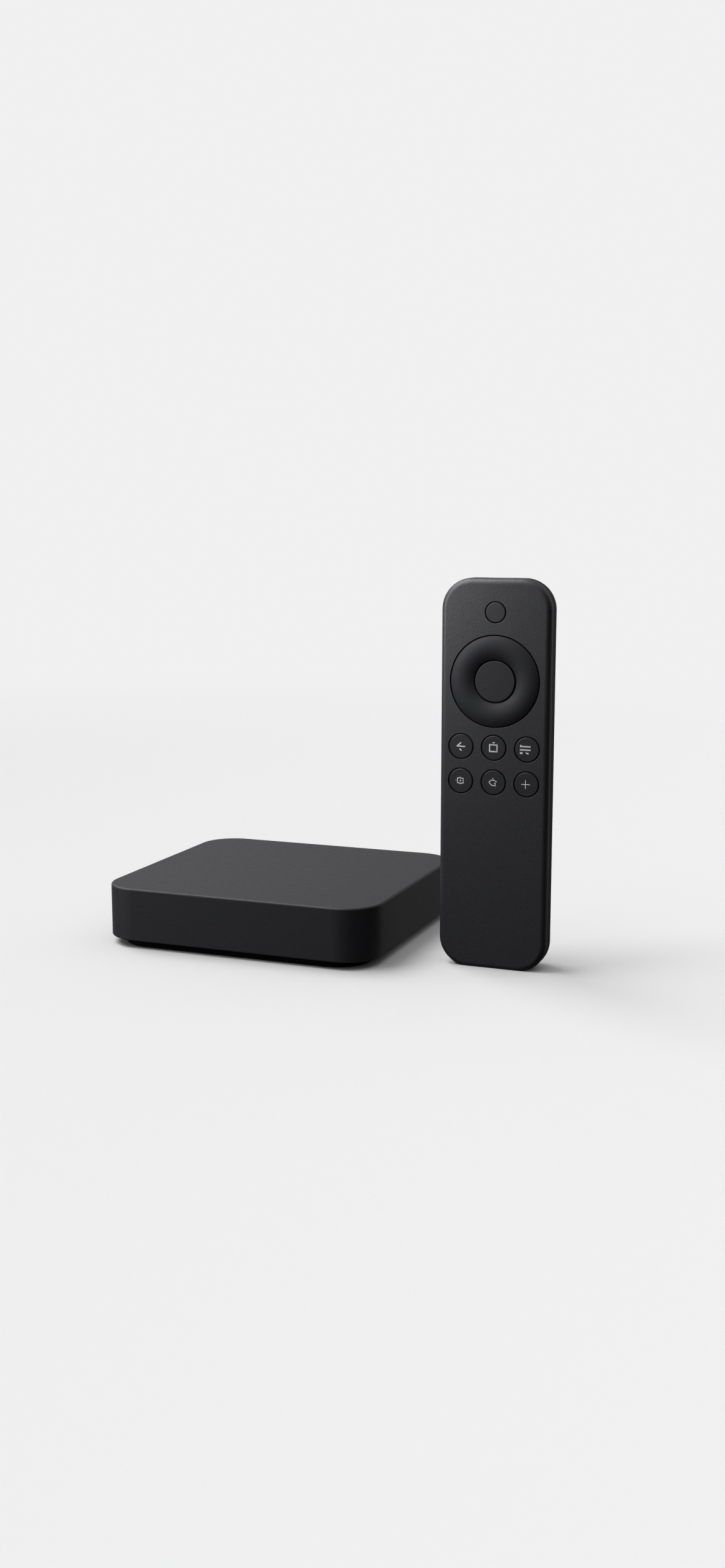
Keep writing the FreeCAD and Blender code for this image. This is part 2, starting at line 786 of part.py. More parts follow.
def make_board_parts():
    """Memory, storage, power parts, the radio under its shield and the remote's eye."""
    memory = [block(f"memory_chip_{number + 1}", size.memory_x,
                    size.memory_front_y + size.memory_pitch * number, board_top,
                    size.memory_width, size.memory_depth, size.chip_thick)
              for number in range(2)]
    group("memory_chips", memory)
    keep("storage_chip", block("storage_chip", size.flash_x, size.flash_y, board_top,
                               size.flash_width, size.flash_depth, size.chip_thick))
    coils = [block(f"power_coil_{number + 1}", size.coil_x,
                   size.coil_front_y + size.coil_pitch * number, board_top,
                   size.coil_side, size.coil_side, size.coil_thick, 0.4)
             for number in range(2)]
    group("power_coils", coils)
    cans = []
    for number in range(2):
        can = new_body(f"capacitor_{number + 1}", size.capacitor_x,
                       size.capacitor_y - size.capacitor_pitch * number, board_top)
        grow(draw_circle(new_sketch(can, "XY_Plane"), size.capacitor_radius),
             size.capacitor_height, "+Z")
        soften(can, 0.4, "Z", size.capacitor_height)
        cans.append(can)
    group("capacitors", cans)
    keep("radio_chip", block("radio_chip", size.radio_x, size.radio_y, board_top,
                             size.radio_side, size.radio_side, size.chip_thick))


def make_radio_shield():
    """A drawn steel lid over the radio, open to the board."""
    body = new_body("radio_shield", size.radio_x, size.radio_y, board_top)
    outside = new_sketch(body, "XY_Plane")
    draw_rectangle(outside, size.shield_width, size.shield_depth)
    grow(outside, size.shield_height, "+Z")
    soften(body, 0.4, "Z", size.shield_height)
    inside = new_sketch(body, "XY_Plane")
    draw_rectangle(inside, size.shield_width - 2 * size.shield_wall,
                   size.shield_depth - 2 * size.shield_wall)
    cut(inside, size.shield_height - size.shield_wall, "+Z")
    keep("radio_shield", body)


def make_antennas():
    """Two stamped antennas, each a strip on a pair of legs along the board's front edge."""
    members = []
    for number, side in enumerate((-1, 1), start=1):
        body = new_body(f"antenna_{number}", size.antenna_x * side, size.antenna_y, board_top)
        strip = new_sketch(body, "XZ_Plane", 0, size.antenna_leg + size.antenna_tall / 2)
        draw_rectangle(strip, size.antenna_long, size.antenna_tall)
        grow(strip, size.antenna_thick, "+Y")
        for place_along in (0.5, 0.25):
            across = (size.antenna_long * place_along - size.antenna_leg / 2) * -side
            leg = new_sketch(body, "XZ_Plane", across, size.antenna_leg * 0.75)
            draw_rectangle(leg, size.antenna_leg, size.antenna_leg * 1.5)
            grow(leg, size.antenna_thick, "+Y")
        members.append(body)
    group("antennas", members)


def make_infrared_eye():
    """The receiver for the remote's infrared light, behind the front wall."""
    body = block("infrared_eye", 0, size.eye_y, board_top, size.eye_width, size.eye_depth,
                 size.eye_height, 0.3)
    lens = new_sketch(body, "XZ_Plane", 0, size.eye_height / 2, size.eye_depth / -2)
    grow(draw_circle(lens, size.eye_lens_radius), size.eye_lens_length, "-Y")
    soften(body, size.eye_lens_length * 0.8, "Y", size.eye_depth / -2 - size.eye_lens_length)
    keep("infrared_eye", body)


def make_low_sockets():
    """HDMI, USB and power sockets: a sheet-metal shell round a contact tongue."""
    for label, (x, wide, tall, corner, length) in SOCKETS.items():
        body = new_body(label, x, socket_face, board_top + tall / 2)
        grow(draw_rounded(new_sketch(body, "XZ_Plane"), wide, tall, corner), length, "-Y")
        sheet_metal = size.shell_sheet
        mouth = new_sketch(body, "XZ_Plane")
        draw_rounded(mouth, wide - 2 * sheet_metal, tall - 2 * sheet_metal,
                     corner - sheet_metal)
        cut(mouth, length - size.tongue_setback, "-Y")
        tongue = new_sketch(body, "XZ_Plane", level=-size.tongue_setback)
        draw_rectangle(tongue, wide - 2 * sheet_metal - 2 * size.tongue_side_gap,
                       size.tongue_thick)
        grow(tongue, length - size.tongue_setback, "-Y")
        keep(label, body)


def make_lan_port():
    """The network socket: a moulded block with a stepped mouth for the plug and its latch."""
    body = new_body("lan_port", size.lan_x, socket_face, size.lan_bottom)
    outside = new_sketch(body, "XZ_Plane", 0, size.lan_height / 2)
    draw_rounded(outside, size.lan_width, size.lan_height, size.lan_corner)
    grow(outside, size.lan_length, "-Y")
    mouth = new_sketch(body, "XZ_Plane", 0, size.lan_mouth_bottom + size.lan_mouth_height / 2)
    draw_rectangle(mouth, size.lan_mouth_width, size.lan_mouth_height)
    cut(mouth, size.lan_mouth_depth, "-Y")
    latch = new_sketch(body, "XZ_Plane", 0, size.lan_mouth_bottom)
    draw_rectangle(latch, size.lan_latch_width, size.lan_latch_height * 2)
    cut(latch, size.lan_mouth_depth, "-Y")
    keep("lan_port", body)


# ---------------------------------------------------------------- remote

outline_tall = size.remote_height + size.foot_trim
outline_middle = (size.remote_height - size.foot_trim) / 2
back_front = size.front_depth + size.seam_gap
back_inside = size.remote_depth - size.back_wall
dome_front = size.mat_front + size.mat_thick
remote_board_front = dome_front + size.dome_thick
remote_board_back = remote_board_front + size.remote_board_thick
hinge_depth = size.remote_depth - size.hinge_inset
hinge_height = size.door_low + size.hinge_lift
key_places = {
    "back_button": (size.column_pitch * -1, size.row_top_z),
    "home_button": (as_size(0), size.row_top_z),
    "menu_button": (size.column_pitch, size.row_top_z),
    "settings_button": (size.column_pitch * -1, size.row_low_z),
    "view_button": (as_size(0), size.row_low_z),
    "plus_button": (size.column_pitch, size.row_low_z),
}
post_places = [(size.post_low_x * side, size.post_low_z) for side in (-1, 1)]
post_places += [(size.post_high_x * side, size.post_high_z) for side in (-1, 1)]


def remote_outline(body, inset, depth):
    """Draw the remote's outline, drawn in by an inset, at a depth."""
    sketch = new_sketch(body, "XZ_Plane", 0, outline_middle, depth)
    add_outline(sketch, inset)
    return sketch


def add_outline(sketch, inset):
    """Add the remote's outline, drawn in by an inset, to a sketch."""
    inset = as_size(inset)
    draw_rounded(sketch, size.remote_width - 2 * inset, outline_tall - 2 * inset,
                 size.remote_corner - inset)


def trim_foot(body):
    """Cut the lower end flat, so that the remote stands on it."""
    below = new_sketch(body, "XZ_Plane", 0, size.foot_trim * -2)
    draw_rectangle(below, size.remote_width * 2, size.foot_trim * 4)
    cut(below, size.remote_depth, "+Y")


def round_hole(body, x, z, radius, depth, length, towards):
    """Cut a round hole across the remote's face."""
    cut(draw_circle(new_sketch(body, "XZ_Plane", x, z, depth), radius), length, towards)


def is_circle(edge):
    """Tell a full circle from the arcs and lines of an outline."""
    return isinstance(edge.Curve, Part.Circle) and edge.isClosed()


def make_front_shell():
    """The face with its key holes and the posts that carry the remote's board."""
    body = new_remote_body("remote_front_shell")
    grow(remote_outline(body, 0, 0), size.front_depth, "+Y")
    soften(body, size.front_round, "Y", 0)
    cut(remote_outline(body, size.front_wall, size.front_depth),
        size.front_depth - size.face_thick, "-Y")
    trim_foot(body)
    round_hole(body, 0, size.power_z, size.power_hole, 0, size.face_thick, "+Y")
    round_hole(body, 0, size.pad_z, size.pad_hole, 0, size.face_thick, "+Y")
    for x, z in key_places.values():
        round_hole(body, x, z, size.key_hole, 0, size.face_thick, "+Y")
    soften(body, size.hole_rim_round, "Y", 0, is_circle)
    for x, z in post_places:
        post = draw_circle(new_sketch(body, "XZ_Plane", x, z, size.face_thick),
                           size.post_radius)
        grow(post, remote_board_front - size.face_thick, "+Y")
        round_hole(body, x, z, size.post_hole, remote_board_front,
                   size.remote_screw_length, "-Y")
    keep("remote_front_shell", body)


def make_back_form(body, inset=0):
    """Start a body with the solid form of the remote's back, drawn in by an inset."""
    back = size.remote_depth - inset
    grow(remote_outline(body, inset, back_front), back - back_front, "+Y")
    soften(body, size.back_round - inset, "Y", back)


def take_away(body, label, inset):
    """Hollow out a body with a smaller copy of the back's form, drawn in the body's frame."""
    core = new_body(label)
    make_back_form(core, inset)
    feature = body.newObject("PartDesign::Boolean", body.Name + "_hollow")
    feature.Type = "Cut"
    feature.setObjects([core])
    body.Tip = feature


def make_back_shell():
    """The hollow back with its seam lip, battery bay and the window for the lamp."""
    body = new_remote_body("remote_back_shell")
    make_back_form(body)
    take_away(body, "remote_back_core", size.back_wall)
    lip_outside = size.front_wall + size.lip_gap
    lip_inside = lip_outside + size.lip_thick
    root = remote_outline(body, size.back_wall - size.lip_gap, back_front)
    add_outline(root, lip_inside)
    grow(root, size.lip_back - back_front, "+Y")
    lip = remote_outline(body, lip_outside, size.lip_front)
    add_outline(lip, lip_inside)
    grow(lip, back_front - size.lip_front, "+Y")
    trim_foot(body)
    bay_block_middle = (size.bay_block_low + size.bay_block_high) / 2
    bay = new_sketch(body, "XZ_Plane", 0, bay_block_middle, size.bay_block_front)
    draw_rectangle(bay, size.bay_block_width, size.bay_block_high - size.bay_block_low)
    grow(bay, back_inside - size.bay_block_front + size.lip_gap, "+Y")
    space = new_sketch(body, "XZ_Plane", 0, (size.bay_low + size.bay_high) / 2, size.bay_floor)
    draw_rectangle(space, size.bay_width, size.bay_high - size.bay_low)
    cut(space, size.remote_depth - size.bay_floor, "+Y")
    doorway = new_sketch(body, "XZ_Plane", 0, (size.door_low + size.door_high) / 2,
                         size.remote_depth)
    draw_rectangle(doorway, size.door_width + 2 * size.door_gap,
                   size.door_high - size.door_low + 2 * size.door_gap)
    cut(doorway, size.door_thick + size.door_gap, "-Y")
    bearing = new_sketch(body, "YZ_Plane", hinge_depth, hinge_height,
                         size.door_width / -2 - size.hinge_pin_length - size.door_gap)
    cut(draw_circle(bearing, size.hinge_bore),
        size.door_width + 2 * size.hinge_pin_length + 2 * size.door_gap, "+X")
    window = new_sketch(body, "XY_Plane", 0, size.window_front + size.window_depth / 2,
                        size.remote_height)
    draw_rectangle(window, size.window_width + 2 * size.window_gap,
                   size.window_depth + 2 * size.window_gap)
    cut(window, size.front_wall + size.lip_gap + size.lip_thick, "-Z")
    keep("remote_back_shell", body)


def make_battery_door():
    """The door follows the back's form; its lower end turns on two stub pins."""
    body = new_remote_body("battery_door")
    make_back_form(body)
    middle = (size.door_low + size.door_high) / 2
    frame = new_sketch(body, "XZ_Plane", 0, middle, back_front)
    draw_rectangle(frame, size.remote_width * 2, size.remote_height * 2)
    draw_rectangle(frame, size.door_width, size.door_high - size.door_low)
    cut(frame, size.remote_depth - back_front, "+Y")
    inside = new_sketch(body, "XZ_Plane", 0, middle, back_front)
    draw_rectangle(inside, size.remote_width, size.remote_height)
    cut(inside, back_inside - back_front, "+Y")
    soften(body, size.door_end_round, "Z", size.door_low,
           lambda edge: edge.BoundBox.XLength > 1)
    for number in range(int(SIZES["grip_count"])):
        height = size.grip_low + size.grip_pitch * number
        grip = new_sketch(body, "XZ_Plane", 0, height, size.remote_depth)
        draw_rounded(grip, size.grip_wide, size.grip_tall, size.grip_tall * 0.49)
        cut(grip, size.grip_deep, "-Y")
    for side, towards in ((-1, "-X"), (1, "+X")):
        start = size.door_width / 2 - 0.5
        pin = new_sketch(body, "YZ_Plane", hinge_depth, hinge_height, start * side)
        grow(draw_circle(pin, size.hinge_pin), size.hinge_pin_length + 0.5, towards)
    keep("battery_door", body)


def make_cells():
    """Two AAA cells side by side, the second one upside down."""
    contact = size.bay_low + size.contact_thick
    top = size.bay_high - size.contact_thick
    over = FreeCAD.Rotation(FreeCAD.Vector(1, 0, 0), 180)
    whole = size.cell_length + size.cell_nub_length
    for label, side, z, turn in (("battery_left", -1, top - whole, None),
                                 ("battery_right", 1, contact + whole, over)):
        body = new_remote_body(label, size.cell_x * side, size.cell_depth, z, turn)
        grow(draw_circle(new_sketch(body, "XY_Plane"), size.cell_radius),
             size.cell_length, "+Z")
        soften(body, size.cell_round, "Z", 0)
        soften(body, size.cell_round, "Z", size.cell_length)
        nub = new_sketch(body, "XY_Plane", level=size.cell_length)
        grow(draw_circle(nub, size.cell_nub_radius), size.cell_nub_length, "+Z")
        keep(label, body)


def make_contacts():
    """One long plate joins the cells at the bottom and each has its own at the top."""
    bottom = new_remote_body("battery_contact_low", 0, size.cell_depth, size.bay_low)
    plate = draw_rectangle(new_sketch(bottom, "XY_Plane"),
                           size.contact_width + 2 * size.cell_x, size.contact_depth)
    grow(plate, size.contact_thick, "+Z")
    members = [bottom]
    for number, side in enumerate((-1, 1), start=1):
        body = new_remote_body(f"battery_contact_high_{number}", size.cell_x * side,
                               size.cell_depth, size.bay_high - size.contact_thick)
        plate = draw_rectangle(new_sketch(body, "XY_Plane"), size.contact_width,
                               size.contact_depth)
        grow(plate, size.contact_thick, "+Z")
        members.append(body)
    group("battery_contacts", members)


def make_springs():
    """A conical spring of twelve-sided wire presses on the flat end of each cell."""
    low = size.bay_low + size.contact_thick
    high = size.bay_high - size.contact_thick
    gap = high - low - size.cell_length - size.cell_nub_length
    over = FreeCAD.Rotation(FreeCAD.Vector(1, 0, 0), 180)
    members = []
    for number, (side, z, turn) in enumerate(((-1, low, None), (1, high, over)), start=1):
        helix = doc.addObject("Part::Helix", f"spring_line_{number}")
        rise = gap - 2 * size.spring_wire
        bind(helix, "Height", rise)
        bind(helix, "Pitch", rise / SIZES["spring_turns"])
        bind(helix, "Radius", size.spring_low_radius)
        bind(helix, "Angle", size.spring_cone)
        wire = doc.addObject("Part::RegularPolygon", f"spring_wire_{number}")
        wire.Polygon = 12
        bind(wire, "Circumradius", size.spring_wire)
        place(wire, size.spring_low_radius,
              rotation=FreeCAD.Rotation(FreeCAD.Vector(1, 0, 0), 90))
        coil = doc.addObject("Part::Sweep", f"battery_spring_{number}")
        coil.Sections = [wire]
        coil.Spine = (helix, [])
        coil.Solid = True
        coil.Frenet = True
        lift = size.spring_wire * (-1 if turn else 1)
        place(coil, size.remote_x + size.cell_x * side,
              size.remote_front_y + size.cell_depth, z + lift, turn)
        members.append(coil)
    group("battery_springs", members)


def make_remote_board():
    """The remote's board, with holes for its screws."""
    body = new_remote_body("remote_board")
    middle = (size.remote_board_low + size.remote_board_high) / 2
    outline = new_sketch(body, "XZ_Plane", 0, middle, remote_board_front)
    draw_rounded(outline, size.remote_board_width,
                 size.remote_board_high - size.remote_board_low, size.remote_board_corner)
    grow(outline, size.remote_board_thick, "+Y")
    for x, z in post_places:
        round_hole(body, x, z, size.post_hole + size.post_clearance / 2,
                   remote_board_front, size.remote_board_thick, "+Y")
    keep("remote_board", body)


def make_keypad_mat():
    """The silicone sheet between the keys and the domes."""
    body = new_remote_body("keypad_mat")
    middle = (size.remote_board_low + size.remote_board_high) / 2
    outline = new_sketch(body, "XZ_Plane", 0, middle, size.mat_front)
    draw_rounded(outline, size.mat_width,
                 size.remote_board_high - size.remote_board_low, size.remote_board_corner)
    grow(outline, size.mat_thick, "+Y")
    for x, z in post_places:
        round_hole(body, x, z, size.post_radius + size.post_clearance, size.mat_front,
                   size.mat_thick, "+Y")
    keep("keypad_mat", body)


def make_domes():
    """A snap dome under every key, and five under the direction ring and its centre."""
    spots = list(key_places.values())
    spots += [(as_size(0), size.power_z), (as_size(0), size.pad_z)]
    spots += [(size.dome_spread * side, size.pad_z) for side in (-1, 1)]
    spots += [(as_size(0), size.pad_z + size.dome_spread * side) for side in (-1, 1)]
    members = []
    for number, (x, z) in enumerate(spots, start=1):
        body = new_remote_body(f"dome_{number}", x, dome_front, z)
        grow(draw_circle(new_sketch(body, "XZ_Plane"), size.dome_radius),
             size.dome_thick, "+Y")
        soften(body, size.dome_thick * 0.6, "Y", 0)
        members.append(body)
    group("dome_switches", members)


def make_remote_screws():
    """The screws run towards the face, so each is turned to point along -Y."""
    turned = FreeCAD.Rotation(FreeCAD.Vector(1, 0, 0), 90)
    members = []
    for number, (x, z) in enumerate(post_places, start=1):
        members.append(screw(f"remote_screw_{number}", size.remote_x + x,
                             size.remote_front_y + remote_board_back, z,
                             size.remote_head_radius, size.remote_head_thick,
                             size.remote_screw_radius, size.remote_screw_length, turned))
    group("remote_screws", members)


def make_remote_chip():
    body = new_remote_body("remote_chip", 0, remote_board_back, size.remote_chip_z)
    side = size.remote_chip_side
    grow(draw_rectangle(new_sketch(body, "XZ_Plane"), side, side),
         size.remote_chip_thick, "+Y")
    soften(body, 0.15, "Y", size.remote_chip_thick)
    keep("remote_chip", body)


def make_lamp():
    """The infrared lamp: a rim, a round body and a domed end, pointing up."""
    depth = size.window_front + size.window_depth / 2
    body = new_remote_body("infrared_lamp", 0, depth, size.lamp_bottom)
    grow(draw_circle(new_sketch(body, "XY_Plane"), size.lamp_rim_radius),
         size.lamp_rim_thick, "+Z")
    grow(draw_circle(new_sketch(body, "XY_Plane"), size.lamp_radius),
         size.lamp_length + size.lamp_rim_thick, "+Z")
    soften(body, size.lamp_radius * 0.9, "Z", size.lamp_length + size.lamp_rim_thick)
    keep("infrared_lamp", body)


def make_window():
    """The dark infrared window in the remote's upper end."""
    middle = size.window_front + size.window_depth / 2
    body = new_remote_body("infrared_window", 0, middle,
                           size.remote_height - size.window_gap - size.window_thick)
    grow(draw_rectangle(new_sketch(body, "XY_Plane"), size.window_width,
                        size.window_depth), size.window_thick, "+Z")
    soften(body, 0.2, "Z", size.window_thick)
    keep("infrared_window", body)


def make_key(label, x, z, cap, flange):
    """A round key: a flush cap, a flange behind the face and a stem over its dome."""
    body = new_remote_body(label, x, 0, z)
    grow(draw_circle(new_sketch(body, "XZ_Plane"), cap), size.key_flange_front, "+Y")
    soften(body, size.key_round, "Y", 0)
    collar = new_sketch(body, "XZ_Plane", level=size.key_flange_front)
    grow(draw_circle(collar, flange), size.key_flange_thick, "+Y")
    stem = new_sketch(body, "XZ_Plane", level=size.key_flange_front)
    grow(draw_circle(stem, size.key_stem), size.key_back - size.key_flange_front, "+Y")
    keep(label, body)


def make_keys():
    make_key("power_button", 0, size.power_z, size.power_cap,
             size.power_hole + size.key_flange_over / 2)
    for label, (x, z) in key_places.items():
        make_key(label, x, z, size.key_cap, size.key_hole + size.key_flange_over / 2)


def make_direction_ring():
    """An arched ring turned about its own axis, with a skirt and a flange behind the face."""
    body = new_remote_body("direction_ring", 0, -size.ring_crest, size.pad_z)
    face = size.ring_crest
    corners = [
        (size.ring_outer, face),
        (size.ring_inner, face + size.ring_inner_drop),
        (size.ring_inner, face + size.ring_underside),
        (size.ring_skirt_inner, face + size.ring_underside),
        (size.ring_skirt_inner, face + size.ring_back),
        (size.ring_flange, face + size.ring_back),
        (size.ring_flange, face + size.ring_flange_front),
        (size.ring_outer, face + size.ring_flange_front),
    ]
    profile = new_sketch(body, "XY_Plane")
    revolve(draw_profile(profile, corners, {0: size.ring_arch}))
    soften(body, 0.2, "Y", face)
    keep("direction_ring", body)


def make_ring_carrier():
    """The small ring under the direction ring that lets it rock both ways."""
    body = new_remote_body("ring_carrier", 0, size.carrier_front, size.pad_z)
    ring = draw_circle(new_sketch(body, "XZ_Plane"), size.carrier_outer)
    draw_circle(ring, size.carrier_inner)
    grow(ring, size.carrier_thick, "+Y")
    soften(body, 0.15, "Y", 0)
    keep("ring_carrier", body)


def make_ok_button():
    """The flat button in the middle of the ring, with its retaining flange."""
    body = new_remote_body("ok_button", 0, size.ok_drop, size.pad_z)
    grow(draw_circle(new_sketch(body, "XZ_Plane"), size.ok_cap),
         size.ok_flange_front - size.ok_drop, "+Y")
    soften(body, size.key_round, "Y", 0)
    collar = new_sketch(body, "XZ_Plane", level=size.ok_flange_front - size.ok_drop)
    grow(draw_circle(collar, size.ok_flange), size.ok_flange_thick, "+Y")
    keep("ok_button", body)


# ---------------------------------------------------------------- build, test and write

for make in (make_top_housing, make_base_plate, make_foot_ring, make_base_screws,
             make_main_board, make_board_screws, make_processor, make_heat_sink,
             make_sink_pins, make_board_parts, make_radio_shield, make_antennas,
             make_infrared_eye, make_low_sockets, make_lan_port, make_front_shell,
             make_back_shell, make_battery_door, make_cells, make_contacts, make_springs,
             make_remote_board, make_keypad_mat, make_domes, make_remote_screws,
             make_remote_chip, make_lamp, make_window, make_keys, make_direction_ring,
             make_ring_carrier, make_ok_button):
    make()
doc.recompute()

for thing in doc.Objects:
    if "Invalid" in thing.State or "Error" in thing.State:
        raise RuntimeError(f"{thing.Name} failed: {thing.State}")
    if thing.TypeId in ("PartDesign::Pocket", "PartDesign::Pad"):
        before = thing.BaseFeature.Shape.Volume if thing.BaseFeature else 0.0
        change = thing.Shape.Volume - before
        wrong_way = change > -1e-3 if thing.TypeId.endswith("Pocket") else change < 1e-3
        if wrong_way:
            raise RuntimeError(f"{thing.Name} changes the volume by {change:.4f}")

os.makedirs("parts", exist_ok=True)
for label, thing in nodes.items():
    if thing.Shape.isNull() or not thing.Shape.isValid():
        raise RuntimeError(f"{label} has no valid shape")
    thing.Shape.exportStep(f"parts/{label}.step")
    box = thing.Shape.BoundBox
    print(f"{label:20s} {len(thing.Shape.Solids):2d} solids {thing.Shape.Volume:9.1f} mm3  "
          f"x {box.XMin:.2f}..{box.XMax:.2f}  y {box.YMin:.2f}..{box.YMax:.2f}  "
          f"z {box.ZMin:.2f}..{box.ZMax:.2f}")
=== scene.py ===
import json
import math

import bmesh
import bpy
from mathutils import Matrix, Vector

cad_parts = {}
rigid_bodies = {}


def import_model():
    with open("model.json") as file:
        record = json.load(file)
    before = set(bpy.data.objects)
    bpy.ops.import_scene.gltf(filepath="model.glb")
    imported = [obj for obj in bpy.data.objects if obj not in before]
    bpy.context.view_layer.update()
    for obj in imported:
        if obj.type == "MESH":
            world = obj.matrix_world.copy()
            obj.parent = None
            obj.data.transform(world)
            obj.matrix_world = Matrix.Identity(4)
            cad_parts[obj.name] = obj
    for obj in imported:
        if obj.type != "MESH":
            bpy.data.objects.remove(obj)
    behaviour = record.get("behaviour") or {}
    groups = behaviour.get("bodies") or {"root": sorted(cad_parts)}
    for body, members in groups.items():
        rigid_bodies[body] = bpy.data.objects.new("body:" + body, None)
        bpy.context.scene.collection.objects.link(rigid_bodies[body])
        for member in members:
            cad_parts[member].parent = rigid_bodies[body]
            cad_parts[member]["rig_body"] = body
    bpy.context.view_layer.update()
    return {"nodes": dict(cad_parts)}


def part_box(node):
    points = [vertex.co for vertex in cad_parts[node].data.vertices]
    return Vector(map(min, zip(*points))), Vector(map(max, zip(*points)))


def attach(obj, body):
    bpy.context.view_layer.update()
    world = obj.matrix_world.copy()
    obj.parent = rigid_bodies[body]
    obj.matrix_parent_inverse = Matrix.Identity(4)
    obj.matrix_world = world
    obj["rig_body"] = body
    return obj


# A streaming player and its remote, photographed on a pale seamless sweep. Metres, in the
# model's own frame: X right, the fronts face -Y, Z up, the table at Z = 0.

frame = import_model()
nodes = frame["nodes"]
MM = 0.001
scene = bpy.context.scene


# ---------------------------------------------------------------- materials

class Shader:
    """A node material in the making: a Principled shader and short ways to feed it."""

    def __init__(self, name, colour, roughness, **fixed):
        self.material = bpy.data.materials.new(name)
        self.material.use_nodes = True
        self.tree = self.material.node_tree
        self.tree.nodes.clear()
        self.output = self.tree.nodes.new("ShaderNodeOutputMaterial")
        self.surface = self.tree.nodes.new("ShaderNodeBsdfPrincipled")
        self.link(self.surface, "BSDF", self.output, "Surface")
        self.colour = colour
        self.roughness = roughness
        self.set("Base Color", (*colour, 1))
        self.set("Roughness", roughness)
        for socket, value in fixed.items():
            self.set(socket.replace("_", " "), value)
        self.where = self.tree.nodes.new("ShaderNodeTexCoord")

    def set(self, socket, value):
        """Give one of the surface's inputs a plain value."""
        self.surface.inputs[socket].default_value = value

    def link(self, source, output, target, socket):
        """Join an output of one node to an input of another, both by name."""
        self.tree.links.new(source.outputs[output], target.inputs[socket])

    def math(self, operation, source, output, number):
        """A Math node that works a source's value with a number."""
        node = self.tree.nodes.new("ShaderNodeMath")
        node.operation = operation
        self.tree.links.new(source.outputs[output], node.inputs[0])
        node.inputs[1].default_value = number
        return node

    def noise(self, scale, detail=2.0, stretch=(1, 1, 1)):
        """A noise value over the surface; scale is in features per metre."""
        mapping = self.tree.nodes.new("ShaderNodeMapping")
        mapping.inputs["Scale"].default_value = stretch
        self.link(self.where, "Object", mapping, "Vector")
        noise = self.tree.nodes.new("ShaderNodeTexNoise")
        noise.inputs["Scale"].default_value = scale
        noise.inputs["Detail"].default_value = detail
        self.link(mapping, "Vector", noise, "Vector")
        return noise

    def paint(self, source, output, stops, sudden=False):
        """Colour the surface by a source's value; each stop is a value and its colour."""
        ramp = self.tree.nodes.new("ShaderNodeValToRGB")
        ramp.color_ramp.interpolation = "CONSTANT" if sudden else "LINEAR"
        while len(ramp.color_ramp.elements) < len(stops):
            ramp.color_ramp.elements.new(0.5)
        for element, (place, colour) in zip(ramp.color_ramp.elements, stops):
            element.position = place
            element.color = (*colour, 1)
        self.link(source, output, ramp, "Fac")
        self.link(ramp, "Color", self.surface, "Base Color")
        return self

    def mottle(self, scale, amount, stretch=(1, 1, 1)):
        """Vary the base colour a little, lighter and darker."""
        dark = [part * (1 - amount) for part in self.colour]
        light = [part * (1 + amount) for part in self.colour]
        return self.paint(self.noise(scale, 3.0, stretch), "Fac", ((0.35, dark), (0.65, light)))

    def uneven(self, scale, amount, stretch=(1, 1, 1)):
        """Vary the roughness a little."""
        spread = self.tree.nodes.new("ShaderNodeMapRange")
        spread.inputs["From Min"].default_value = 0.3
        spread.inputs["From Max"].default_value = 0.7
        spread.inputs["To Min"].default_value = self.roughness - amount
        spread.inputs["To Max"].default_value = self.roughness + amount
        self.link(self.noise(scale, 3.0, stretch), "Fac", spread, "Value")
        self.link(spread, "Result", self.surface, "Roughness")
        return self

    def grain(self, scale, strength, depth=0.06, stretch=(1, 1, 1)):
        """Raise the surface by a fine noise; depth is in millimetres."""
        bump = self.tree.nodes.new("ShaderNodeBump")
        bump.inputs["Strength"].default_value = strength
        bump.inputs["Distance"].default_value = depth * MM
        self.link(self.noise(scale, 2.0, stretch), "Fac", bump, "Height")
        self.link(bump, "Normal", self.surface, "Normal")
        return self


def moulded(name, colour, roughness, grain, strength, specular=0.5):
    """Matt moulded plastic, rubber or resin with a fine eroded grain."""
    shader = Shader(name, colour, roughness, Specular_IOR_Level=specular)
    return shader.mottle(grain * 0.6, 0.1).uneven(400, 0.03).grain(grain, strength).material


def metal(name, colour, roughness, stretch=(1, 1, 1)):
    """Plated, drawn or brushed metal; the stretch gives the direction of its fine lines."""
    shader = Shader(name, colour, roughness, Metallic=1.0)
    shader.mottle(900, 0.06, stretch).uneven(400, 0.06, stretch)
    return shader.grain(1800, 0.15, 0.02, stretch).material


def glossy(name, colour, roughness, **fixed):
    """A smooth moulding, even but for a faint flow in its gloss."""
    return Shader(name, colour, roughness, **fixed).mottle(120, 0.06).uneven(150, 0.03).material


def laminate(name):
    """A green board: solder mask over a faint pattern of copper tracks."""
    shader = Shader(name, (0.010, 0.085, 0.035), 0.38, Coat_Weight=0.2, Coat_Roughness=0.2)
    tracks = shader.tree.nodes.new("ShaderNodeTexBrick")
    tracks.inputs["Scale"].default_value = 260
    tracks.inputs["Mortar Size"].default_value = 0.03
    tracks.inputs["Color1"].default_value = (0.008, 0.07, 0.028, 1)
    tracks.inputs["Color2"].default_value = (0.010, 0.085, 0.035, 1)
    tracks.inputs["Mortar"].default_value = (0.03, 0.16, 0.06, 1)
    shader.link(shader.where, "Object", tracks, "Vector")
    shader.link(tracks, "Color", shader.surface, "Base Color")
    return shader.uneven(300, 0.05).material


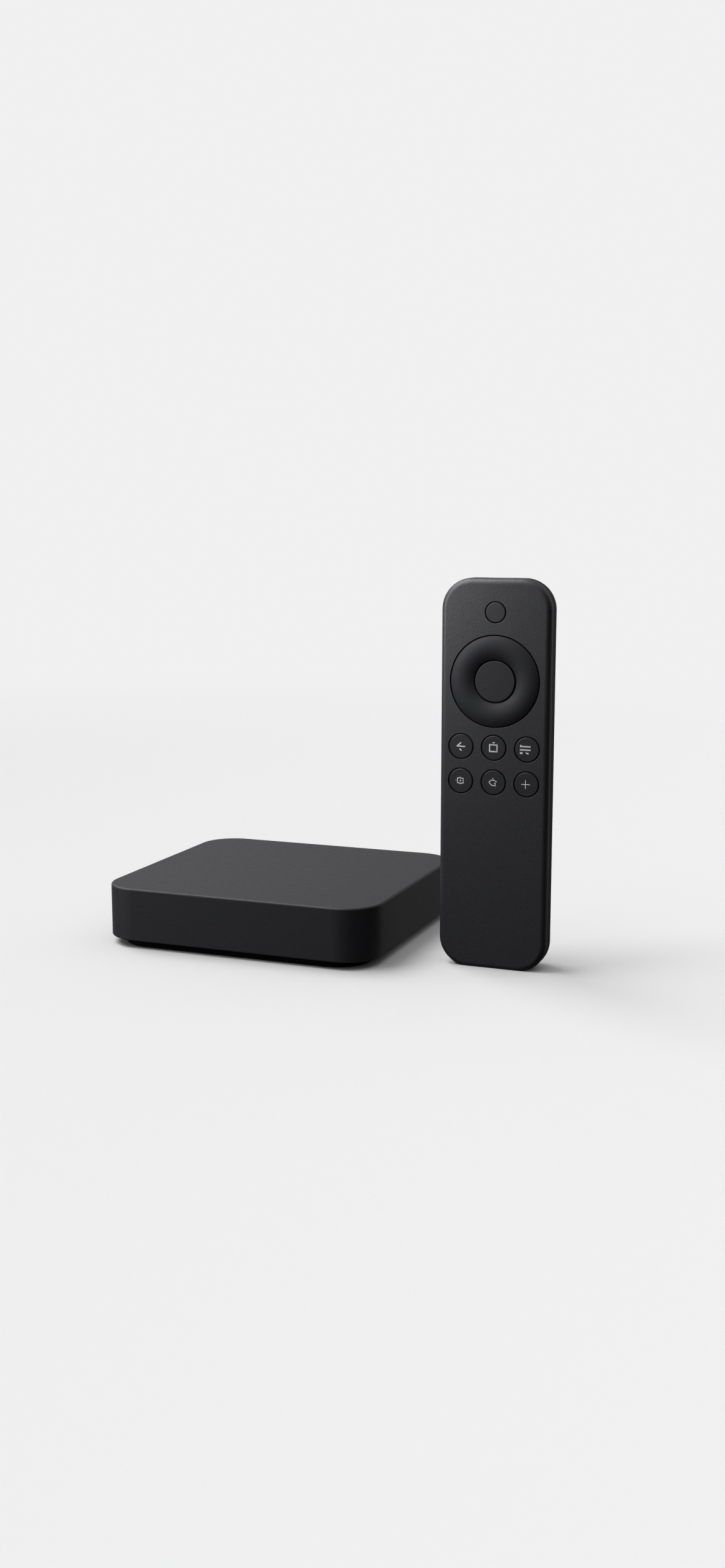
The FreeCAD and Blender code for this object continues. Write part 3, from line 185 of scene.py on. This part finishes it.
def cell_sleeve(cell, raised_end_up):
    """A cell's printed sleeve: black, with a copper band at its raised end and bare ends."""
    black, copper, bare = (0.012, 0.012, 0.013), (0.42, 0.17, 0.07), (0.6, 0.6, 0.59)
    shader = Shader(cell + "_sleeve", black, 0.3, Coat_Weight=0.4, Coat_Roughness=0.15)
    low, high = (corner.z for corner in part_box(cell))
    flat_end, raised_end = (low, high) if raised_end_up else (high, low)
    height = shader.tree.nodes.new("ShaderNodeSeparateXYZ")
    shader.link(shader.where, "Object", height, "Vector")
    above = shader.math("SUBTRACT", height, "Z", flat_end)
    along = shader.math("DIVIDE", above, "Value", raised_end - flat_end)
    bands = ((0.0, bare), (0.012, black), (0.7, copper), (0.968, bare))
    return shader.paint(along, "Value", bands, sudden=True).uneven(200, 0.04).material


def dress(material, *names):
    """Give CAD nodes a material in every slot."""
    for name in names:
        mesh = nodes[name].data
        if not mesh.materials:
            mesh.materials.append(material)
        for index in range(len(mesh.materials)):
            mesh.materials[index] = material


CHARCOAL = (0.0198, 0.0202, 0.0240)
KEY_BLACK = (0.0120, 0.0124, 0.0155)
OK_BLACK = (0.0140, 0.0144, 0.0178)
# NEAR_BLACK serves the base plate and the foot ring; on the base plate it is darker than the plastic
# itself, as painted shade under the housing's overhang.
NEAR_BLACK = (0.004, 0.004, 0.0043)
KEYS = ("power_button", "back_button", "home_button", "menu_button", "settings_button",
        "view_button", "plus_button")

# The casings, the keys and what else is moulded.
dress(moulded("HousingPlastic", CHARCOAL, 0.52, 2300, 0.7), "top_housing")
# The base plate's near-black is partly its own dark plastic and partly painted shade, darkened to
# stand in for the shadow under the housing.
dress(moulded("BasePlastic", NEAR_BLACK, 0.6, 2300, 0.3, 0.04), "base_plate")
dress(moulded("FootRubber", NEAR_BLACK, 0.8, 1500, 0.2, 0.04), "foot_ring")
dress(moulded("RemotePlastic", CHARCOAL, 0.5, 2300, 0.7), "remote_front_shell")
dress(moulded("RemoteBackPlastic", CHARCOAL, 0.58, 2300, 0.7, 0.15), "remote_back_shell",
      "battery_door")
dress(moulded("KeyPlastic", KEY_BLACK, 0.48, 3400, 0.3), *KEYS)
dress(moulded("OkPlastic", OK_BLACK, 0.55, 2600, 0.4, 0.35), "ok_button")
dress(moulded("RingPlastic", OK_BLACK, 0.62, 3400, 0.25, 0.25), "direction_ring")
dress(moulded("CarrierPlastic", (0.05, 0.05, 0.05), 0.5, 2600, 0.3), "ring_carrier")
dress(moulded("PinNylon", (0.02, 0.02, 0.02), 0.45, 2600, 0.2), "sink_pins")
dress(moulded("SocketPlastic", (0.012, 0.012, 0.012), 0.42, 2600, 0.3), "lan_port")
dress(moulded("PadSilicone", (0.32, 0.37, 0.42), 0.7, 2600, 0.5), "thermal_pad")
dress(moulded("MatSilicone", (0.24, 0.25, 0.26), 0.6, 2600, 0.3), "keypad_mat")
dress(glossy("WindowPlastic", (0.008, 0.004, 0.006), 0.15, Coat_Weight=0.5), "infrared_window")

# The electronics.
dress(laminate("BoardLaminate"), "main_board", "remote_board")
dress(moulded("ChipResin", (0.015, 0.015, 0.016), 0.55, 5000, 0.5), "soc_chip",
      "memory_chips", "storage_chip", "radio_chip", "remote_chip")
dress(moulded("CoilFerrite", (0.05, 0.05, 0.054), 0.65, 4000, 0.6), "power_coils")
dress(glossy("EyeResin", (0.01, 0.01, 0.012), 0.12, Coat_Weight=0.5), "infrared_eye")
dress(glossy("LampResin", (0.85, 0.8, 0.9), 0.08, Transmission_Weight=0.9, IOR=1.54),
      "infrared_lamp")
dress(cell_sleeve("battery_left", raised_end_up=True), "battery_left")
dress(cell_sleeve("battery_right", raised_end_up=False), "battery_right")

# The metal pieces.
dress(metal("CanAluminium", (0.75, 0.75, 0.76), 0.3, (1, 1, 6)), "capacitors")
dress(metal("SinkAluminium", (0.7, 0.71, 0.72), 0.38, (1, 0.08, 1)), "heat_sink")
dress(metal("ShieldSteel", (0.7, 0.7, 0.68), 0.32, (0.1, 1, 1)), "radio_shield")
dress(metal("ScrewSteel", (0.35, 0.35, 0.36), 0.35), "base_screws")
dress(metal("SmallScrewSteel", (0.6, 0.6, 0.6), 0.3), "board_screws", "remote_screws")
dress(metal("AntennaBrass", (0.78, 0.6, 0.35), 0.3, (0.1, 1, 1)), "antennas")
dress(metal("SocketSteel", (0.65, 0.65, 0.64), 0.28, (1, 0.1, 1)), "hdmi_port", "usb_port",
      "power_port")
dress(metal("DomeSteel", (0.75, 0.75, 0.75), 0.22), "dome_switches")
dress(metal("ContactSteel", (0.75, 0.74, 0.7), 0.28, (0.1, 1, 1)), "battery_contacts",
      "battery_springs")


# ---------------------------------------------------------------- marks on the keys

def add_piece(name, mesh, material, body):
    """Make an object from a bmesh; it moves with a body and wears the given material."""
    bmesh.ops.recalc_face_normals(mesh, faces=mesh.faces)
    data = bpy.data.meshes.new(name)
    mesh.to_mesh(data)
    mesh.free()
    data.materials.append(material)
    piece = bpy.data.objects.new(name, data)
    scene.collection.objects.link(piece)
    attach(piece, body)


def join_ends(mesh, first, last):
    """Close a solid between two end faces with the same number of corners."""
    mesh.faces.new(first)
    mesh.faces.new(last[::-1])
    for side in range(len(first)):
        after = (side + 1) % len(first)
        mesh.faces.new((first[side], last[side], last[after], first[after]))


def stroke(start, end, width):
    """The outline of a straight stroke with round ends."""
    turn = math.atan2(end[1] - start[1], end[0] - start[0])
    points = []
    for centre, first in ((end, -90), (start, 90)):
        for step in range(7):
            angle = turn + math.radians(first + step * 30)
            points.append((centre[0] + width / 2 * math.cos(angle),
                           centre[1] + width / 2 * math.sin(angle)))
    return points


def line(width, *points):
    """Strokes from each point to the next."""
    return [stroke(start, end, width) for start, end in zip(points, points[1:])]


def bar(left, top, right, bottom):
    """The outline of an upright rectangle."""
    return [[(left, bottom), (right, bottom), (right, top), (left, top)]]


def spot(x, z, radius):
    """The outline of a round spot."""
    return [[(x + radius * math.cos(math.radians(angle)), z + radius * math.sin(math.radians(angle)))
             for angle in range(0, 360, 30)]]


# Each mark is a list of outlines, in millimetres right of and above the middle of its key.
MARKS = {
    "back_button": (
        line(0.44, (-1.4, 0.06), (1.4, -0.02)) + line(0.44, (-1.36, 0.12), (-0.06, 1.3))
        + line(0.46, (-0.36, -0.98), (0.12, -1.36))),
    "home_button": (
        bar(-1.7, 1.31, 1.44, 0.89) + bar(-1.7, 0.89, -1.28, -1.07) + bar(1.02, 0.89, 1.44, -1.49)
        + bar(-1.7, -1.07, 0.84, -1.49) + line(0.36, (-0.32, 1.9), (0.24, 1.88))),
    "menu_button": (
        bar(-2.5, 1.3, 1.36, 0.84) + spot(-2.2, 1.36, 0.3) + bar(-2.5, 0.12, 1.36, -0.36)
        + bar(-2.5, -0.95, -1.5, -1.6) + line(0.36, (-0.3, -1.08), (0.12, -1.3))
        + spot(0.36, -1.34, 0.33)),
    "settings_button": (
        line(0.3, (-1.14, 0.92), (-0.62, 0.92), (-0.3, 1.28), (0.02, 0.92), (0.96, 0.88),
             (0.96, -0.82), (0.3, -0.84), (-0.06, -1.16), (-0.42, -0.84), (-1.14, -0.78),
             (-1.14, 0.92))
        + spot(-0.04, 0.02, 0.3) + spot(-1.74, 0.12, 0.13)),
    "view_button": (
        line(0.3, (1.15, 0.34), (0.5, 0.78), (-0.1, 0.94), (-0.8, 0.76), (-1.58, 0.12),
             (-1.0, -0.58), (-0.4, -1.02), (0.76, -1.1), (0.74, -0.2), (0.4, -0.12))
        + spot(-0.18, 1.42, 0.2)),
    "plus_button": (
        line(0.26, (-1.75, 0.06), (1.22, 0.05)) + line(0.26, (-0.3, 1.56), (-0.28, -1.44))),
}
MARK_THICKNESS = 0.04 * MM
STROKE_STEP = 0.0015 * MM


def add_marks():
    """Light printed marks, half sunk into the faces of the six round keys. Each stroke stands a
    hair further out than the last, so that no two faces lie in one plane where strokes cross."""
    ink = moulded("KeyPrint", (0.6, 0.6, 0.62), 0.55, 2600, 0.2)
    for key, outlines in MARKS.items():
        low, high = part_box(key)
        middle = (low + high) / 2
        mesh = bmesh.new()
        for number, outline in enumerate(outlines):
            proud = MARK_THICKNESS / 2 + number * STROKE_STEP
            front = [mesh.verts.new((middle.x + x * MM, low.y - proud, middle.z + z * MM))
                     for x, z in outline]
            back = [mesh.verts.new(vertex.co + Vector((0, MARK_THICKNESS + proud, 0)))
                    for vertex in front]
            join_ends(mesh, front, back)
        add_piece(key + "_mark", mesh, ink, key)


# ---------------------------------------------------------------- socket linings

TONGUE_HALF_THICKNESS = 0.6 * MM
TONGUE_SIDE_GAP = 1.65 * MM
TONGUE_FRONT_GAP = 1.15 * MM
TONGUE_REAR_GAP = 1.25 * MM
CONTACT_HALF_SHARE = 0.28       # half a contact's width, as a share of the pitch
CONTACT_FRONT_GAP = 0.5 * MM
CONTACT_REAR_GAP = 1 * MM
CONTACT_PROUD = 0.03 * MM
WIRE_COUNT = 8
WIRE_PITCH = 1.02 * MM
# The two ends of each wire: how far in from the mouth and how high above the socket's foot, in mm.
WIRE_ENDS = ((1.0, 11.7), (9.0, 9.1))
WIRE_CORNERS = ((-0.2, -0.3), (0.2, -0.3), (0.2, 0), (-0.2, 0))
# For each low socket: how many contacts a side, their pitch, and on which sides they lie.
CONTACTS = {"hdmi_port": (10, 1.0 * MM, (-1, 1)), "usb_port": (4, 2.4 * MM, (1,)),
            "power_port": (6, 0.8 * MM, (-1, 1))}


def add_block(mesh, low, high):
    """Add a plain block between two corners."""
    size = [top - bottom for bottom, top in zip(low, high)]
    middle = [(top + bottom) / 2 for bottom, top in zip(low, high)]
    bmesh.ops.create_cube(mesh, size=1, matrix=Matrix.Translation(middle)
                          @ Matrix.Diagonal((*size, 1)))


def add_tongue(name, count, pitch, sides, plastic, gilt):
    """A black sleeve and gilt contacts on a socket's tongue."""
    low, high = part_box(name)
    x, z = (low.x + high.x) / 2, (low.z + high.z) / 2
    half = (high.x - low.x) / 2 - TONGUE_SIDE_GAP
    front, rear = high.y - TONGUE_FRONT_GAP, low.y + TONGUE_REAR_GAP
    sleeve = bmesh.new()
    add_block(sleeve, (x - half, rear, z - TONGUE_HALF_THICKNESS),
              (x + half, front, z + TONGUE_HALF_THICKNESS))
    add_piece(name + "_tongue", sleeve, plastic, "player")
    strips = bmesh.new()
    for number in range(count):
        middle = x + (number - (count - 1) / 2) * pitch
        for side in sides:
            level = z + side * TONGUE_HALF_THICKNESS
            add_block(strips,
                      (middle - pitch * CONTACT_HALF_SHARE, rear + CONTACT_REAR_GAP,
                       level - CONTACT_PROUD),
                      (middle + pitch * CONTACT_HALF_SHARE, front - CONTACT_FRONT_GAP,
                       level + CONTACT_PROUD))
    add_piece(name + "_contacts", strips, gilt, "player")


def add_network_wires(gilt):
    """Sprung wires that slope down from the roof of the network socket."""
    low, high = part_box("lan_port")
    wires = bmesh.new()
    for number in range(WIRE_COUNT):
        middle = (low.x + high.x) / 2 + (number - (WIRE_COUNT - 1) / 2) * WIRE_PITCH
        ends = []
        for inward, height in WIRE_ENDS:
            ends.append([wires.verts.new((middle + across * MM, high.y - inward * MM,
                                          low.z + (height + rise) * MM))
                         for across, rise in WIRE_CORNERS])
        join_ends(wires, *ends)
    add_piece("lan_port_contacts", wires, gilt, "player")


def add_socket_linings():
    """The tongues and contacts of the low sockets, and the network socket's wires."""
    plastic = moulded("TonguePlastic", (0.015, 0.015, 0.016), 0.45, 3000, 0.3)
    gilt = metal("ContactGold", (0.83, 0.62, 0.28), 0.25, (1, 0.1, 1))
    for name, (count, pitch, sides) in CONTACTS.items():
        add_tongue(name, count, pitch, sides, plastic, gilt)
    add_network_wires(gilt)


# ---------------------------------------------------------------- camera, stage and light

def add_camera():
    """The photograph's viewpoint: low, from the front right, through a moderate lens."""
    data = bpy.data.cameras.new("Camera")
    data.sensor_fit = "AUTO"
    data.sensor_width = 36
    data.lens = 36.65
    looks_down, turned_left = math.radians(9.58), math.radians(21.27)
    data.clip_start = 0.01
    camera = bpy.data.objects.new("Camera", data)
    camera.location = (0.2527, -0.5648, 0.1618)
    camera.rotation_euler = (math.pi / 2 - looks_down, 0, turned_left)
    scene.collection.objects.link(camera)
    scene.camera = camera


def add_stage():
    """A pale floor that curves up into a wall all round. It throws no light back, so the
    objects are lit by the lights and the world alone."""
    flat, bend, wall, steps, sides = 2.6, 1.6, 2.4, 14, 96
    profile = [(flat, 0.0)]
    profile += [(flat + bend * math.sin(turn), bend * (1 - math.cos(turn)))
                for turn in (math.pi / 2 * step / steps for step in range(1, steps + 1))]
    profile.append((flat + bend, bend + wall))
    mesh = bmesh.new()
    rings = []
    for radius, height in profile:
        rings.append([mesh.verts.new((radius * math.cos(turn), radius * math.sin(turn), height))
                      for turn in (2 * math.pi * side / sides for side in range(sides))])
    mesh.faces.new(rings[0])
    for inner, outer in zip(rings, rings[1:]):
        for side in range(sides):
            after = (side + 1) % sides
            mesh.faces.new((inner[side], outer[side], outer[after], inner[after]))
    data = bpy.data.meshes.new("Sweep")
    mesh.to_mesh(data)
    mesh.free()
    for face in data.polygons:
        face.use_smooth = True
    sweep = bpy.data.objects.new("Sweep", data)
    scene.collection.objects.link(sweep)
    sweep.visible_diffuse = False
    sweep.visible_glossy = False
    data.materials.append(sweep_paper())


def sweep_paper():
    """Plain paper near the objects, fading into an evenly lit backdrop further out."""
    shader = Shader("SweepPaper", (0.8, 0.8, 0.8), 0.9, Specular_IOR_Level=0.0)
    distance = shader.tree.nodes.new("ShaderNodeVectorMath")
    distance.operation = "LENGTH"
    shader.link(shader.where, "Object", distance, "Vector")
    fade = shader.tree.nodes.new("ShaderNodeMapRange")
    fade.interpolation_type = "SMOOTHERSTEP"
    fade.inputs["From Min"].default_value = 0.3
    fade.inputs["From Max"].default_value = 1.1
    shader.link(distance, "Value", fade, "Value")
    glow = shader.tree.nodes.new("ShaderNodeEmission")
    glow.inputs["Color"].default_value = (0.871, 0.871, 0.871, 1)
    mix = shader.tree.nodes.new("ShaderNodeMixShader")
    shader.link(fade, "Result", mix, "Fac")
    shader.tree.links.new(shader.surface.outputs["BSDF"], mix.inputs[1])
    shader.tree.links.new(glow.outputs["Emission"], mix.inputs[2])
    shader.link(mix, "Shader", shader.output, "Surface")
    return shader.material


def add_lamp(name, kind, place, aim, power):
    """A light of some kind at a place, pointed at a spot."""
    data = bpy.data.lights.new(name, kind)
    data.energy = power
    lamp = bpy.data.objects.new(name, data)
    lamp.location = place
    lamp.rotation_euler = (Vector(aim) - Vector(place)).to_track_quat("-Z", "Y").to_euler()
    scene.collection.objects.link(lamp)
    return lamp


def add_panel(name, place, aim, size, power, lights):
    """A small panel that lights only the pieces that pass a test."""
    panel = add_lamp(name, "AREA", place, aim, power)
    panel.data.shape = "RECTANGLE"
    panel.data.size, panel.data.size_y = size
    panel.visible_camera = False
    receivers = bpy.data.collections.new(name + "Pieces")
    for piece in scene.objects:
        if "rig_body" in piece and lights(piece):
            receivers.objects.link(piece)
    panel.light_linking.receiver_collection = receivers


# The strip light would glare on these, which don't face it.
STRIP_SKIPS = ("remote_back_shell", "infrared_window", "infrared_lamp", "battery_door")


def add_lights():
    """A broad high key from the left, a low panel at the player's front left and an upright
    strip close to the remote's upper left."""
    key = add_lamp("Key", "SUN", (-0.6, -0.03, 0.8), (0, 0, 0), 3.0)
    key.data.angle = math.radians(54)
    add_panel("PlayerPanel", (-0.27, -0.21, 0.08), (0, -0.05, 0.01), (0.08, 0.08), 0.15,
              lambda piece: piece["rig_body"] == "player")
    add_panel("RemoteStrip", (0.032, -0.08, 0.155), (0.09, -0.028, 0.09), (0.03, 0.15), 0.13,
              lambda piece: piece["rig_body"] != "player" and piece.name not in STRIP_SKIPS)


# How bright the world is by direction: 0 is right and a little forward, 1 left and a little back.
WORLD_STOPS = ((0.0, 0.06), (0.2, 0.12), (0.32, 0.38), (0.45, 0.8), (0.6, 0.3), (0.7, 0.4),
               (0.86, 0.22), (1.0, 0.6))


def add_world():
    """A ring of light of uneven strength round the horizon, fainter below it, and a broad glow
    overhead."""
    world = bpy.data.worlds.new("World")
    scene.world = world
    world.use_nodes = True
    tree = world.node_tree
    where = tree.nodes.new("ShaderNodeTexCoord")

    def spread(source, output, low, high, first, last):
        """Go smoothly from first to last as a value goes from low to high."""
        node = tree.nodes.new("ShaderNodeMapRange")
        node.interpolation_type = "SMOOTHSTEP"
        for socket, value in (("From Min", low), ("From Max", high), ("To Min", first),
                              ("To Max", last)):
            node.inputs[socket].default_value = value
        tree.links.new(source.outputs[output], node.inputs["Value"])
        return node.outputs["Result"]

    def math_node(operation, first, last):
        """A Math node that works two outputs together."""
        node = tree.nodes.new("ShaderNodeMath")
        node.operation = operation
        tree.links.new(first, node.inputs[0])
        tree.links.new(last, node.inputs[1])
        return node.outputs["Value"]

    towards = tree.nodes.new("ShaderNodeVectorMath")
    towards.operation = "DOT_PRODUCT"
    towards.inputs[1].default_value = Vector((-0.8, 0.6, 0.15)).normalized()
    tree.links.new(where.outputs["Generated"], towards.inputs[0])
    shift = tree.nodes.new("ShaderNodeMapRange")
    shift.inputs["From Min"].default_value = -1
    tree.links.new(towards.outputs["Value"], shift.inputs["Value"])
    ramp = tree.nodes.new("ShaderNodeValToRGB")
    ramp.color_ramp.interpolation = "EASE"
    while len(ramp.color_ramp.elements) < len(WORLD_STOPS):
        ramp.color_ramp.elements.new(0.5)
    for element, (place, level) in zip(ramp.color_ramp.elements, WORLD_STOPS):
        element.position = place
        element.color = (level, level, level, 1)
    tree.links.new(shift.outputs["Result"], ramp.inputs["Fac"])
    height = tree.nodes.new("ShaderNodeSeparateXYZ")
    tree.links.new(where.outputs["Generated"], height.inputs["Vector"])
    above_ground = spread(height, "Z", -0.3, 0.05, 0.15, 1.0)
    overhead = spread(height, "Z", 0.4, 0.95, 0.0, 0.18)
    level = math_node("ADD", math_node("MULTIPLY", ramp.outputs["Color"], above_ground), overhead)
    tree.links.new(level, tree.nodes["Background"].inputs["Strength"])
    tree.nodes["Background"].inputs["Color"].default_value = (1, 1, 1, 1)


add_marks()
add_socket_linings()
add_camera()
add_stage()
add_lights()
add_world()
scene.view_settings.view_transform = "Standard"
